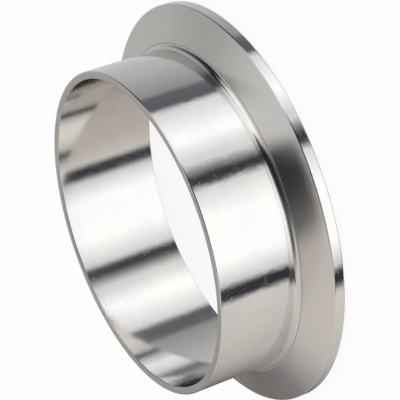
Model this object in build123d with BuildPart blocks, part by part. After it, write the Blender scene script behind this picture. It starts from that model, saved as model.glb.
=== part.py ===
from build123d import *
import os
from math import radians, tan

# Weld ferrule of a sanitary clamp joint: a short, thin tube with a clamp flange at one end,
# turned from one piece of stainless steel. It stands on its gasket face at Z = 0, with the
# tube's axis on +Z and the weld end on top. All sizes are in millimetres.

# Tube
tube_diameter = 85.0  # outside, the same as the pipe that is welded on
wall_thickness = 2.0
overall_length = 28.0  # gasket face to weld end
weld_edge_break = 0.15  # deburring of the square weld end

# Clamp flange
flange_diameter = 106.0
rim_thickness = 2.85  # the cylindrical rim, before the taper starts
taper_angle = 20.0  # the back slope that the clamp's jaws wedge on, from the gasket face
rim_edge_break = 0.3
neck_radius = 1.6  # fillet between the taper and the tube

# Gasket groove, an arc cut into the gasket face
groove_setback = 4.5  # rim to the groove's centre line
groove_depth = 1.6
groove_arc_radius = 2.3
groove_lip_break = 0.2
bore_edge_break = 0.15  # where the bore meets the gasket face

# Radii and heights that follow from the sizes above
tube_radius = tube_diameter / 2
bore_radius = tube_radius - wall_thickness
flange_radius = flange_diameter / 2
groove_radius = flange_radius - groove_setback
taper_height = (flange_radius - tube_radius) * tan(radians(taper_angle))
neck_height = rim_thickness + taper_height

# The turned section, drawn with the radius along X and the height along Y
with BuildPart() as clamp_ferrule:
    with BuildSketch(Plane.XZ) as section:
        with BuildLine():
            Polyline(
                (bore_radius, 0),
                (flange_radius, 0),
                (flange_radius, rim_thickness),
                (tube_radius, neck_height),
                (tube_radius, overall_length),
                (bore_radius, overall_length),
                close=True,
            )
        make_face()

        # Neck: the corner that sits at the foot of the tube's outer wall
        neck_corner = section.vertices().sort_by_distance((tube_radius, neck_height))[0]
        fillet(neck_corner, neck_radius)

        # Rim: both corners at the largest radius
        rim_corners = section.vertices().group_by(Axis.X)[-1]
        chamfer(rim_corners, rim_edge_break)

        # Weld end: both corners at the top
        weld_corners = section.vertices().group_by(Axis.Y)[-1]
        chamfer(weld_corners, weld_edge_break)

        # Bore edge at the gasket face: the lowest corner nearest the axis
        bore_corner = section.vertices().group_by(Axis.Y)[0].sort_by(Axis.X)[0]
        chamfer(bore_corner, bore_edge_break)

        # Gasket groove, with its two lips broken
        with Locations((groove_radius, groove_depth - groove_arc_radius)):
            Circle(groove_arc_radius, mode=Mode.SUBTRACT)
        face_corners = section.vertices().group_by(Axis.Y)[0].sort_by(Axis.X)
        chamfer(face_corners[1:3], groove_lip_break)
    revolve(axis=Axis.Z)

clamp_ferrule.part.label = "clamp_ferrule"
os.makedirs("parts", exist_ok=True)
export_step(clamp_ferrule.part, "parts/clamp_ferrule.step")
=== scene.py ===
"""A weld ferrule for sanitary clamp joints, turned from stainless steel: its body and its studio."""

import math

import bmesh
import bpy
from mathutils import Matrix, Vector


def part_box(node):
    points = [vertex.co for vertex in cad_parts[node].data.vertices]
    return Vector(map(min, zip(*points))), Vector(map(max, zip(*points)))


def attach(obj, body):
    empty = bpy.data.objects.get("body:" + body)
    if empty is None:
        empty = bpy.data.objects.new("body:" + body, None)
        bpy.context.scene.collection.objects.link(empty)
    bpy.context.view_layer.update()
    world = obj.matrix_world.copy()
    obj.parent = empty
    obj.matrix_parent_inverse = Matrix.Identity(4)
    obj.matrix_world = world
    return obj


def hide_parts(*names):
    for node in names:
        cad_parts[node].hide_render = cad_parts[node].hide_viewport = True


bl_info = {
    "name": "Sanitary Clamp Ferrule",
    "version": (1, 0, 0),
    "blender": (4, 5, 0),
    "location": "3D View > Sidebar > Ferrule",
    "description": "Turns a stainless clamp ferrule and sets it in a soft studio",
    "category": "Add Mesh",
}

NODE = "clamp_ferrule"
MM = 0.001
NECK_BAND = 0.4 * MM  # a narrow matt ring where the taper meets the neck
SHARP_ANGLE = math.radians(9.5)  # each step of a rounding turns less than this
MERGE_DISTANCE = 0.002 * MM
TAPER_FACING = 0.93  # a little less than the cosine of the taper, as its faces look up
MARK_RADIUS = 45  # millimetres; the turning marks have their stated length here
BORE_SWELL = 0.07  # share of the bore's radius
PAINTED_SHADE_SIDE = math.radians(30)  # azimuth from +X of the bore's side with painted shade
# Painted shade: how much darker and browner that side of the bore is made
PAINTED_SHADE_TINT = (0.80, 0.765, 0.72)
WARM_SHADE = (1.015, 0.995, 0.965)

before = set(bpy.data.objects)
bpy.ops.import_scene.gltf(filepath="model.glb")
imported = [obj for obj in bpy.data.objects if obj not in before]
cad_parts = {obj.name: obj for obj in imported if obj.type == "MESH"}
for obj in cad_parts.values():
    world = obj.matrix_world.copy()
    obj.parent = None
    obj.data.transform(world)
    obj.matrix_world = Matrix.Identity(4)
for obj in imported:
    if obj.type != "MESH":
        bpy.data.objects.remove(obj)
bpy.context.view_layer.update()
low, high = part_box(NODE)
FLANGE_DIAMETER = 2 * min(-low.x, high.x, -low.y, high.y)
LENGTH = high.z

# The studio, as rings of soft boxes with dark gaps between them. Each ring has its elevation in
# degrees. Each of its boxes has the azimuth where it starts, 0 towards the front, and a grey at
# its start and at its end.
SOFT_EDGE = 2
LEFT_CARDS_END = -60
GAP_GREY = 100  # darker than this is a gap
RINGS = (
    # Round the part: a left card, a wide key box in front, a right box and a back card
    (-18, (
        (-180, 120, 100), (-160, 110, 180), (-118, 180, 200),
        (-66, 45, 45),
        (-55, 200, 250), (-35, 250, 250), (-8, 250, 210),
        (15, 50, 50),
        (24, 130, 210), (34, 210, 250), (50, 250, 210),
        (77, 85, 95),
        (92, 140, 170), (125, 170, 190), (165, 190, 120),
    )),
    # The key box fades upwards, and the gaps widen
    (2, (
        (-180, 140, 110), (-160, 130, 160), (-125, 170, 200),
        (-68, 90, 90),
        (-54, 160, 220), (-20, 220, 30),
        (17, 25, 35),
        (29, 120, 230), (39, 225, 205), (65, 190, 40),
        (77, 25, 15),
        (91, 80, 140), (105, 140, 170), (165, 170, 140),
    )),
    (20, (
        (-180, 160, 90), (-168, 80, 180), (-121, 180, 195), (-70, 190, 120),
        (-41, 120, 140), (-18, 130, 60),
        (0, 60, 25), (20, 25, 60),
        (33, 120, 240), (41, 240, 210), (70, 190, 50),
        (86, 10, 40), (105, 40, 90), (132, 90, 170), (155, 170, 160),
    )),
    # Only the right box and the cards reach this high
    (42, (
        (-180, 160, 185), (-155, 190, 190), (-66, 170, 60),
        (-46, 60, 70), (-20, 60, 30), (0, 30, 30),
        (27, 60, 240), (42, 250, 250), (84, 220, 40),
        (99, 20, 20), (128, 30, 150), (144, 155, 160),
    )),
    (62, (
        (-180, 190, 190), (-76, 180, 100),
        (-50, 100, 40), (-8, 30, 20),
        (34, 40, 210), (54, 215, 205), (110, 200, 190),
    )),
)
ZENITH = 60  # the grey straight above
ZENITH_EDGE = (0.93, 0.995)  # the sines of the elevations where it starts and is full
NADIR = (122, 118, 113)  # the shade straight below
NADIR_EDGE = (0.8, 0.92)
ROOM_STRENGTH = 1.3

FLOOR_REACH = 4.0  # metres from the middle to each side
FLOOR_PAINT = 0.95
FLOOR_GLOW = 0.85  # share of its look that is its own light
SENSOR_WIDTH = 36.0
NEAREST = 0.01


class FerruleSizes(bpy.types.PropertyGroup):
    """The ferrule's own sizes"""

    flange_diameter: bpy.props.FloatProperty(
        name="Flange Diameter", description="Across the clamp flange",
        unit="LENGTH", default=FLANGE_DIAMETER, precision=4,
    )
    length: bpy.props.FloatProperty(
        name="Length", description="Gasket face to weld end",
        unit="LENGTH", default=LENGTH, precision=4,
    )
    tube_diameter: bpy.props.FloatProperty(
        name="Tube Diameter", description="Outside of the tube",
        unit="LENGTH", default=85 * MM, precision=4,
    )
    wall: bpy.props.FloatProperty(
        name="Wall", description="Thickness of the tube's wall",
        unit="LENGTH", default=2 * MM, precision=4,
    )
    rim_thickness: bpy.props.FloatProperty(
        name="Rim Thickness", description="Cylindrical rim of the flange",
        unit="LENGTH", default=2.85 * MM, precision=5,
    )
    taper: bpy.props.FloatProperty(
        name="Taper", description="Slope that the clamp wedges on",
        subtype="ANGLE", default=math.radians(20),
    )
    neck_radius: bpy.props.FloatProperty(
        name="Neck Radius", description="Fillet from the taper to the tube",
        unit="LENGTH", default=1.6 * MM, precision=5,
    )
    groove_setback: bpy.props.FloatProperty(
        name="Groove Setback", description="Rim to the gasket groove's centre line",
        unit="LENGTH", default=4.5 * MM, precision=5,
    )
    groove_depth: bpy.props.FloatProperty(
        name="Groove Depth", description="Depth of the gasket groove",
        unit="LENGTH", default=1.6 * MM, precision=5,
    )
    groove_arc: bpy.props.FloatProperty(
        name="Groove Arc", description="Radius of the gasket groove's arc",
        unit="LENGTH", default=2.3 * MM, precision=5,
    )
    edge_break: bpy.props.FloatProperty(
        name="Edge Break", description="Rounding of the weld end",
        unit="LENGTH", default=0.3 * MM, precision=6,
    )
    bore_break: bpy.props.FloatProperty(
        name="Bore Break", description="Rounding of the bore at the gasket face", unit="LENGTH",
        default=0.12 * MM, precision=6,
    )
    rim_break: bpy.props.FloatProperty(
        name="Rim Break", description="Rounding of the flange's two edges",
        unit="LENGTH", default=0.3 * MM, precision=6,
    )
    turns: bpy.props.IntProperty(
        name="Steps Round", description="Steps of the full turn", default=360, min=48
    )


class FerruleFinish(bpy.types.PropertyGroup):
    """Colours and finishes of the steel"""

    steel: bpy.props.FloatVectorProperty(
        name="Steel", description="Polished outer wall and rim",
        subtype="COLOR", size=3, default=(0.80, 0.80, 0.80),
    )
    bore: bpy.props.FloatVectorProperty(
        name="Bore", description="Polished bore",
        subtype="COLOR", size=3, default=(0.80, 0.80, 0.80),
    )
    satin: bpy.props.FloatVectorProperty(
        name="Satin", description="Taper of the flange",
        subtype="COLOR", size=3, default=(0.76, 0.75, 0.735),
    )
    faced: bpy.props.FloatVectorProperty(
        name="Faced", description="Faced weld end",
        subtype="COLOR", size=3, default=(0.66, 0.64, 0.62),
    )
    polish_roughness: bpy.props.FloatProperty(
        name="Polish Roughness", description="Blur of the polished walls",
        default=0.075, min=0, max=1,
    )
    satin_roughness: bpy.props.FloatProperty(
        name="Satin Roughness", description="Blur of the taper", default=0.16, min=0, max=1
    )
    faced_roughness: bpy.props.FloatProperty(
        name="Faced Roughness", description="Blur of the faced ends", default=0.42, min=0, max=1
    )


class FerruleStudio(bpy.types.PropertyGroup):
    """Camera and light"""

    lens: bpy.props.FloatProperty(name="Lens", description="Focal length in millimetres", default=179.4)
    elevation: bpy.props.FloatProperty(
        name="Elevation", description="Camera above the gasket face's plane",
        subtype="ANGLE", default=math.radians(24.87),
    )
    roll: bpy.props.FloatProperty(
        name="Roll", description="Turn of the camera about its view",
        subtype="ANGLE", default=math.radians(109.2),
    )
    camera_place: bpy.props.FloatVectorProperty(
        name="Camera Place", description="Where the camera stands", subtype="TRANSLATION", size=3,
        default=(0.0027, -0.4615, 0.2213),
    )
    light: bpy.props.FloatProperty(
        name="Light", description="Strength of the studio's light", default=1.0, min=0
    )


class Value:
    """A shader socket that takes part in arithmetic, each step a Math node."""

    def __init__(self, shader, socket):
        self.shader = shader
        self.socket = socket

    def math(self, operation, *others):
        values = dict(enumerate((self,) + others))
        return self.shader.node("ShaderNodeMath", {"operation": operation}, values).value()

    def __add__(self, other):
        return self.math("ADD", other)

    def __radd__(self, other):
        return self.math("ADD", other)

    def __sub__(self, other):
        return self.math("SUBTRACT", other)

    def __rsub__(self, other):
        return (self * -1) + other

    def __mul__(self, other):
        return self.math("MULTIPLY", other)

    def __rmul__(self, other):
        return self.math("MULTIPLY", other)

    def __truediv__(self, other):
        return self.math("DIVIDE", other)

    def smooth(self, start, end):
        """0 below start and 1 above end, with a soft step between"""
        node = self.shader.node(
            "ShaderNodeMapRange",
            {"interpolation_type": "SMOOTHSTEP"},
            {"Value": self, "From Min": start, "From Max": end, "To Min": 0.0, "To Max": 1.0},
        )
        return node.value("Result")


class Placed:
    """A node that has been set up, with its outputs at hand."""

    def __init__(self, shader, node):
        self.shader = shader
        self.node = node

    def value(self, output=0):
        return Value(self.shader, self.node.outputs[output])


class Shader:
    """Builds one node tree."""

    def __init__(self, tree):
        self.tree = tree
        tree.nodes.clear()

    def node(self, kind, settings=None, inputs=None):
        """Adds a node: its settings first, then the values or links of its sockets."""
        node = self.tree.nodes.new(kind)
        for name, setting in (settings or {}).items():
            if name == "stops":
                self.set_stops(node.color_ramp, setting)
            else:
                setattr(node, name, setting)
        for name, source in (inputs or {}).items():
            if isinstance(source, Value):
                self.tree.links.new(source.socket, node.inputs[name])
            else:
                node.inputs[name].default_value = source
        return Placed(self, node)

    @staticmethod
    def set_stops(ramp, stops):
        """stops is a row of (place, colour)"""
        while len(ramp.elements) > 1:
            ramp.elements.remove(ramp.elements[-1])
        ramp.elements[0].position, ramp.elements[0].color = stops[0]
        for place, colour in stops[1:]:
            ramp.elements.new(place).color = colour

    def mix_colour(self, factor, first, second, blend="MIX"):
        """A Mix node takes its colours at sockets 6 and 7, and gives one at output 2"""
        settings = {"data_type": "RGBA", "blend_type": blend}
        node = self.node("ShaderNodeMix", settings, {0: factor, 6: first, 7: second})
        return node.value(2)


def linear(channel):
    """A grey from 0 to 255 as the light that it stands for"""
    share = channel / 255
    return share / 12.92 if share <= 0.04045 else ((share + 0.055) / 1.055) ** 2.4


def rgba(colour):
    return (*colour, 1.0)


def shaded(colour, shade):
    return rgba([channel * share for channel, share in zip(colour, shade)])


# The body


class Section:
    """The turned section, drawn vertex by vertex with the radius along X."""

    def __init__(self, mesh, radius, height):
        self.mesh = mesh
        self.first = bmesh.ops.create_vert(mesh, co=(radius, 0, height))["vert"][0]
        self.last = self.first

    def line(self, radius, height):
        grown = bmesh.ops.extrude_vert_indiv(self.mesh, verts=[self.last])
        self.last = grown["verts"][0]
        self.last.co = Vector((radius, 0, height))

    def arc(self, centre_radius, centre_height, degrees, steps):
        """Goes on round a centre, positive from X towards Z"""
        turned = bmesh.ops.spin(
            self.mesh,
            geom=[self.last],
            cent=(centre_radius, 0, centre_height),
            axis=(0, -1, 0),
            angle=math.radians(degrees),
            steps=steps,
        )
        self.last = [part for part in turned["geom_last"] if isinstance(part, bmesh.types.BMVert)][0]

    def close(self):
        self.mesh.edges.new((self.last, self.first))


def draw_section(mesh, size):
    """The section in one closed line, from the bore's lower edge round by the rim"""
    tube = size.tube_diameter / 2
    bore = tube - size.wall
    rim = size.flange_diameter / 2
    edge = size.edge_break
    inner = size.bore_break
    brk = size.rim_break
    guard = 0.12 * MM  # a narrow band beside each rounding keeps the long walls' light straight
    taper = math.degrees(size.taper)

    section = Section(mesh, bore, inner)
    section.arc(bore + inner, inner, 90, steps=10)

    # Gasket face and groove; the lips are rounded like the other edges
    groove = rim - size.groove_setback
    centre = size.groove_depth - size.groove_arc
    lip = 0.2 * MM
    reach = math.sqrt((size.groove_arc + lip) ** 2 - (lip - centre) ** 2)
    swing = math.degrees(math.atan2(lip - centre, reach))
    section.line(bore + inner + guard, 0)
    section.line(groove - reach - guard, 0)
    section.line(groove - reach, 0)
    section.arc(groove - reach, lip, 90 - swing, steps=9)
    section.arc(groove, centre, swing - (180 - swing), steps=22)
    section.arc(groove + reach, lip, 90 - swing, steps=9)
    section.line(groove + reach + guard, 0)
    section.line(rim - brk - guard, 0)
    section.line(rim - brk, 0)

    # Rim: its lower edge is a quarter round, its upper edge turns into the taper
    section.arc(rim - brk, brk, 90, steps=10)
    section.line(rim, brk + guard)
    shoulder = size.rim_thickness - brk * math.tan(math.radians(90 - taper) / 2)
    section.line(rim, shoulder - guard)
    section.line(rim, shoulder)
    section.arc(rim - brk, shoulder, 90 - taper, steps=8)

    # Taper, then the neck's fillet up to the tube
    slope = Vector((-math.cos(size.taper), 0, math.sin(size.taper)))
    corner = Vector((tube, 0, size.rim_thickness + (rim - tube) * math.tan(size.taper)))
    tangent = size.neck_radius * math.tan(math.radians(90 - taper) / 2)
    leave = section.last.co + slope * guard
    meet = corner - slope * tangent
    section.line(leave.x, leave.z)
    for back in (1.5 * MM, NECK_BAND, 0):
        stop = meet - slope * back
        section.line(stop.x, stop.z)
    section.arc(tube + size.neck_radius, corner.z + tangent, taper - 90, steps=16)
    section.line(tube, corner.z + tangent + guard)

    # Tube and weld end
    section.line(tube, size.length - edge - guard)
    section.line(tube, size.length - edge)
    section.arc(tube - edge, size.length - edge, 90, steps=10)
    section.line(bore + edge, size.length)
    section.arc(bore + edge, size.length - edge, 90, steps=10)
    section.line(bore, size.length - edge - guard)
    section.line(bore, inner + guard)
    section.close()


POLISHED, BORE, SATIN, FACED = range(4)


def finish_of(face, size):
    """Which finish a face has, from its place and its slope"""
    middle = face.calc_center_median()
    radius = math.hypot(middle.x, middle.y)
    tube = size.tube_diameter / 2
    if middle.z > size.length - size.edge_break:
        outer_rounding = tube - size.edge_break * 0.98  # all of it, with a small margin
        return POLISHED if radius > outer_rounding else FACED
    if radius < tube - size.wall + size.bore_break and middle.z > size.bore_break:
        return BORE
    if middle.z < size.rim_thickness and radius < size.flange_diameter / 2 - size.rim_break:
        return FACED if face.normal.z < 0 else SATIN
    if face.normal.z > TAPER_FACING and radius > tube:
        foot = tube + size.neck_radius * (1 - math.sin(size.taper))
        return FACED if foot < radius < foot + NECK_BAND * math.cos(size.taper) else SATIN
    return POLISHED


class FERRULE_OT_body(bpy.types.Operator):
    """Turns the ferrule's body and gives each surface its finish"""

    bl_idname = "ferrule.body"
    bl_label = "Ferrule Body"
    bl_options = {"REGISTER", "UNDO"}

    def execute(self, context):
        size = context.scene.ferrule_sizes
        finish = context.scene.ferrule_finish

        mesh = bmesh.new()
        draw_section(mesh, size)
        bmesh.ops.spin(
            mesh,
            geom=mesh.verts[:] + mesh.edges[:],
            cent=(0, 0, 0),
            axis=(0, 0, 1),
            angle=math.tau,
            steps=size.turns,
            use_merge=True,
        )
        bmesh.ops.remove_doubles(mesh, verts=mesh.verts, dist=MERGE_DISTANCE)
        bmesh.ops.recalc_face_normals(mesh, faces=mesh.faces)
        if any(not edge.is_manifold for edge in mesh.edges):
            raise RuntimeError("the ferrule's body isn't closed")
        for face in mesh.faces:
            face.smooth = True
            face.material_index = finish_of(face, size)
        for edge in mesh.edges:
            edge.smooth = edge.calc_face_angle() < SHARP_ANGLE

        data = bpy.data.meshes.new("ferrule_body")
        mesh.to_mesh(data)
        mesh.free()
        polish = finish.polish_roughness
        swell = BORE_SWELL * (size.tube_diameter / 2 - size.wall)
        for steel in (
            turned_steel("polished_steel", finish.steel, polish, "polished"),
            turned_steel("polished_bore", finish.bore, polish + 0.03, "polished", swell),
            turned_steel("satin_taper", finish.satin, finish.satin_roughness, "satin"),
            turned_steel("faced_steel", finish.faced, finish.faced_roughness, "faced"),
        ):
            data.materials.append(steel)
        body = bpy.data.objects.new("ferrule_body", data)
        context.scene.collection.objects.link(body)
        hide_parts(NODE)
        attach(body, "root")
        return {"FINISHED"}


def turned_steel(name, colour, roughness, finish, swell=0.0):
    """Steel off the lathe. Its marks run round the axis, so they follow the height and the
    radius, and are stretched long along the turn. swell is the height of a slow swell, in the
    shading alone, that shifts what the bore reflects."""
    material = bpy.data.materials.new(name)
    material.use_nodes = True
    shader = Shader(material.node_tree)
    place = shader.node("ShaderNodeTexCoord").value("Object")
    axes = shader.node("ShaderNodeSeparateXYZ", None, {0: place})
    x, y, z = (axes.value(i) for i in range(3))
    radius = (x * x + y * y).math("SQRT")
    across = (radius + z) * (1 / MM)  # millimetres along the section
    turn_x = x / radius
    turn_y = y / radius

    def marks(pitch, length):
        """Noise drawn out along the turn: pitch across it and length along it, in millimetres"""
        stretch = MARK_RADIUS / length
        row = shader.node(
            "ShaderNodeCombineXYZ",
            None,
            {0: turn_x * stretch, 1: turn_y * stretch, 2: across * (1 / pitch)},
        )
        noise = shader.node(
            "ShaderNodeTexNoise",
            {"noise_dimensions": "3D"},
            {"Vector": row.value(), "Scale": 1.0, "Detail": 2.0, "Roughness": 0.55},
        )
        return noise.value(0)

    def grain(width, detail=1.0, rough=0.5):
        """Even noise in every direction, its spots about this wide in millimetres"""
        noise = shader.node(
            "ShaderNodeTexNoise",
            {"noise_dimensions": "3D"},
            {"Vector": place, "Scale": 1 / (width * MM), "Detail": detail, "Roughness": rough},
        )
        return noise.value(0)

    cloud = grain(14, 3.0, 0.6)
    fine = marks(0.09, 9.0)
    broad = marks(0.55, 30.0)

    if finish == "polished":
        specks = grain(0.30).smooth(0.60, 0.70) * grain(6.0, 2.0).smooth(0.44, 0.58)
        scratches = marks(0.16, 2.6).smooth(0.68, 0.74)
        waves = grain(5.0, 2.0)
        ripple = 9.0 if swell else 26.0
        height = fine * 0.4 + broad * 0.7 + scratches * 0.8 + waves * ripple + grain(0.7, 2.0) * 0.9
        depth = 0.0014 * MM
        if swell:
            start, blend = 0.45, 0.3  # level where turn_y is under start: only the far side has it
            height = height - turn_y.math("SMOOTH_MAX", start, blend) * (swell / depth)
        shade = cloud * 0.22 + broad * 0.05 + 0.86
        blur = roughness + cloud * 0.06 + specks * 0.16 - 0.03
    elif finish == "satin":
        specks = grain(0.30).smooth(0.62, 0.70)
        height = fine * 1.0 + broad * 0.6 + specks * 0.8
        depth = 0.0045 * MM
        shade = cloud * 0.16 + fine * 0.08 + 0.88
        blur = roughness + cloud * 0.14 - 0.07
    else:
        height = fine * 1.0 + broad * 0.3
        depth = 0.006 * MM
        shade = cloud * 0.12 + fine * 0.14 + 0.87
        blur = roughness + fine * 0.10 - 0.05

    tint = shader.mix_colour(cloud.smooth(0.35, 0.65), rgba(colour), shaded(colour, WARM_SHADE))
    if swell:
        # Painted shade: one side of the bore is darker and browner than the rest, standing in for the
        # darker reflections there
        towards = turn_x * math.cos(PAINTED_SHADE_SIDE) + turn_y * math.sin(PAINTED_SHADE_SIDE)
        painted_shade_mask = (towards + cloud * 0.12 - 0.06).smooth(0.84, 0.96)
        tint = shader.mix_colour(painted_shade_mask, tint, shaded(colour, PAINTED_SHADE_TINT))
    grey = shader.node("ShaderNodeCombineXYZ", None, {0: shade, 1: shade, 2: shade}).value()
    base = shader.mix_colour(1.0, tint, grey, "MULTIPLY")
    bump = shader.node("ShaderNodeBump", None, {"Strength": 1.0, "Distance": depth, "Height": height})
    surface = shader.node(
        "ShaderNodeBsdfPrincipled",
        None,
        {"Base Color": base, "Metallic": 1.0, "Roughness": blur, "Normal": bump.value()},
    )
    shader.node("ShaderNodeOutputMaterial", None, {"Surface": surface.value()})
    return material


# The studio


def ring(shader, share, boxes):
    """Light round one ring; share runs from 0 to 1 as the azimuth does from -180 to 180"""
    greys = []
    ends = [start for start, _, _ in boxes[1:]] + [180]
    for (start, first, last), end in zip(boxes, ends):
        greys += [(start + SOFT_EDGE, first), (end - SOFT_EDGE, last)]
    greys.append((180, greys[0][1]))
    stops = [
        ((azimuth + 180) / 360, rgba([linear(channel) for channel in tinted(azimuth, grey)]))
        for azimuth, grey in greys
    ]
    return shader.node("ShaderNodeValToRGB", {"stops": stops}, {"Fac": share}).value(0)


def tinted(azimuth, grey):
    """The studio's shades: bluish in the gaps, warm on the left cards and neutral elsewhere"""
    if grey < GAP_GREY:
        return (grey, grey, grey + 6)
    if azimuth < LEFT_CARDS_END:
        return (grey, grey - 4, grey - 8)
    return (grey, grey, grey)


def light_world(world, strength):
    """Even light for the floor, white for the camera, soft boxes and gaps for the steel"""
    world.use_nodes = True
    shader = Shader(world.node_tree)
    way = shader.node("ShaderNodeTexCoord").value("Generated")
    axes = shader.node("ShaderNodeSeparateXYZ", None, {0: way})
    azimuth = axes.value(0).math("ARCTAN2", axes.value(1) * -1)
    share = azimuth * (1 / math.tau) + 0.5
    height = axes.value(2)
    below, lowest = RINGS[0]
    room = ring(shader, share, lowest)
    for elevation, boxes in RINGS[1:]:
        step = height.smooth(math.sin(math.radians(below)), math.sin(math.radians(elevation)))
        room = shader.mix_colour(step, room, ring(shader, share, boxes))
        below = elevation
    above = rgba([linear(ZENITH)] * 3)
    under = rgba([linear(channel) for channel in NADIR])
    room = shader.mix_colour(height.smooth(*ZENITH_EDGE), room, above)
    room = shader.mix_colour((height * -1).smooth(*NADIR_EDGE), room, under)
    room_light = shader.node(
        "ShaderNodeBackground", None, {"Color": room, "Strength": ROOM_STRENGTH * strength}
    )
    even_light = shader.node("ShaderNodeBackground", None, {"Color": (1, 1, 1, 1), "Strength": strength})
    glossy = shader.node("ShaderNodeLightPath").value("Is Glossy Ray")
    mixed = shader.node(
        "ShaderNodeMixShader", None, {0: glossy, 1: even_light.value(), 2: room_light.value()}
    )
    shader.node("ShaderNodeOutputWorld", None, {"Surface": mixed.value()})


def floor_material():
    """White, and mostly lit by itself to the camera, so that it stays pale and still takes a shadow"""
    material = bpy.data.materials.new("white_floor")
    material.use_nodes = True
    shader = Shader(material.node_tree)
    paint = shader.node("ShaderNodeBsdfDiffuse", None, {"Color": rgba([FLOOR_PAINT] * 3)})
    glow = shader.node("ShaderNodeEmission", None, {"Color": (1, 1, 1, 1), "Strength": 1.0})
    seen = shader.node("ShaderNodeLightPath").value("Is Camera Ray")
    mixed = shader.node(
        "ShaderNodeMixShader", None, {0: seen * FLOOR_GLOW, 1: paint.value(), 2: glow.value()}
    )
    shader.node("ShaderNodeOutputMaterial", None, {"Surface": mixed.value()})
    return material


class FERRULE_OT_stage(bpy.types.Operator):
    """Lays the floor and sets the light and the camera"""

    bl_idname = "ferrule.stage"
    bl_label = "Ferrule Studio"
    bl_options = {"REGISTER", "UNDO"}

    def execute(self, context):
        studio = context.scene.ferrule_studio
        scene = context.scene

        mesh = bmesh.new()
        bmesh.ops.create_grid(mesh, x_segments=1, y_segments=1, size=FLOOR_REACH)
        data = bpy.data.meshes.new("floor")
        mesh.to_mesh(data)
        mesh.free()
        data.materials.append(floor_material())
        floor = bpy.data.objects.new("floor", data)
        scene.collection.objects.link(floor)
        floor.visible_glossy = False

        world = bpy.data.worlds.new("studio")
        scene.world = world
        light_world(world, studio.light)

        lens = bpy.data.cameras.new("camera")
        lens.lens = studio.lens
        lens.sensor_width = SENSOR_WIDTH
        lens.clip_start = NEAREST
        camera = bpy.data.objects.new("camera", lens)
        scene.collection.objects.link(camera)
        tilt = Matrix.Rotation(math.pi / 2 - studio.elevation, 4, "X")
        turn = Matrix.Rotation(-studio.roll, 4, "Z")
        camera.matrix_world = Matrix.Translation(studio.camera_place) @ tilt @ turn
        scene.camera = camera
        scene.view_settings.view_transform = "Standard"
        return {"FINISHED"}


class FERRULE_PT_panel(bpy.types.Panel):
    """Lists the ferrule's sizes, finishes and steps"""

    bl_idname = "FERRULE_PT_panel"
    bl_label = "Clamp Ferrule"
    bl_space_type = "VIEW_3D"
    bl_region_type = "UI"
    bl_category = "Ferrule"

    def draw(self, context):
        for title, group in (
            ("Sizes", context.scene.ferrule_sizes),
            ("Finish", context.scene.ferrule_finish),
            ("Studio", context.scene.ferrule_studio),
        ):
            box = self.layout.box()
            box.label(text=title)
            for name in group.__annotations__:
                box.prop(group, name)
        self.layout.operator(FERRULE_OT_body.bl_idname)
        self.layout.operator(FERRULE_OT_stage.bl_idname)


CLASSES = (
    FerruleSizes,
    FerruleFinish,
    FerruleStudio,
    FERRULE_OT_body,
    FERRULE_OT_stage,
    FERRULE_PT_panel,
)
GROUPS = {"ferrule_sizes": FerruleSizes, "ferrule_finish": FerruleFinish, "ferrule_studio": FerruleStudio}


def register():
    for cls in CLASSES:
        bpy.utils.register_class(cls)
    for name, group in GROUPS.items():
        setattr(bpy.types.Scene, name, bpy.props.PointerProperty(type=group))


def unregister():
    for name in GROUPS:
        delattr(bpy.types.Scene, name)
    for cls in reversed(CLASSES):
        bpy.utils.unregister_class(cls)


def main():
    register()
    bpy.ops.ferrule.body()
    bpy.ops.ferrule.stage()


if __name__ == "__main__":
    main()
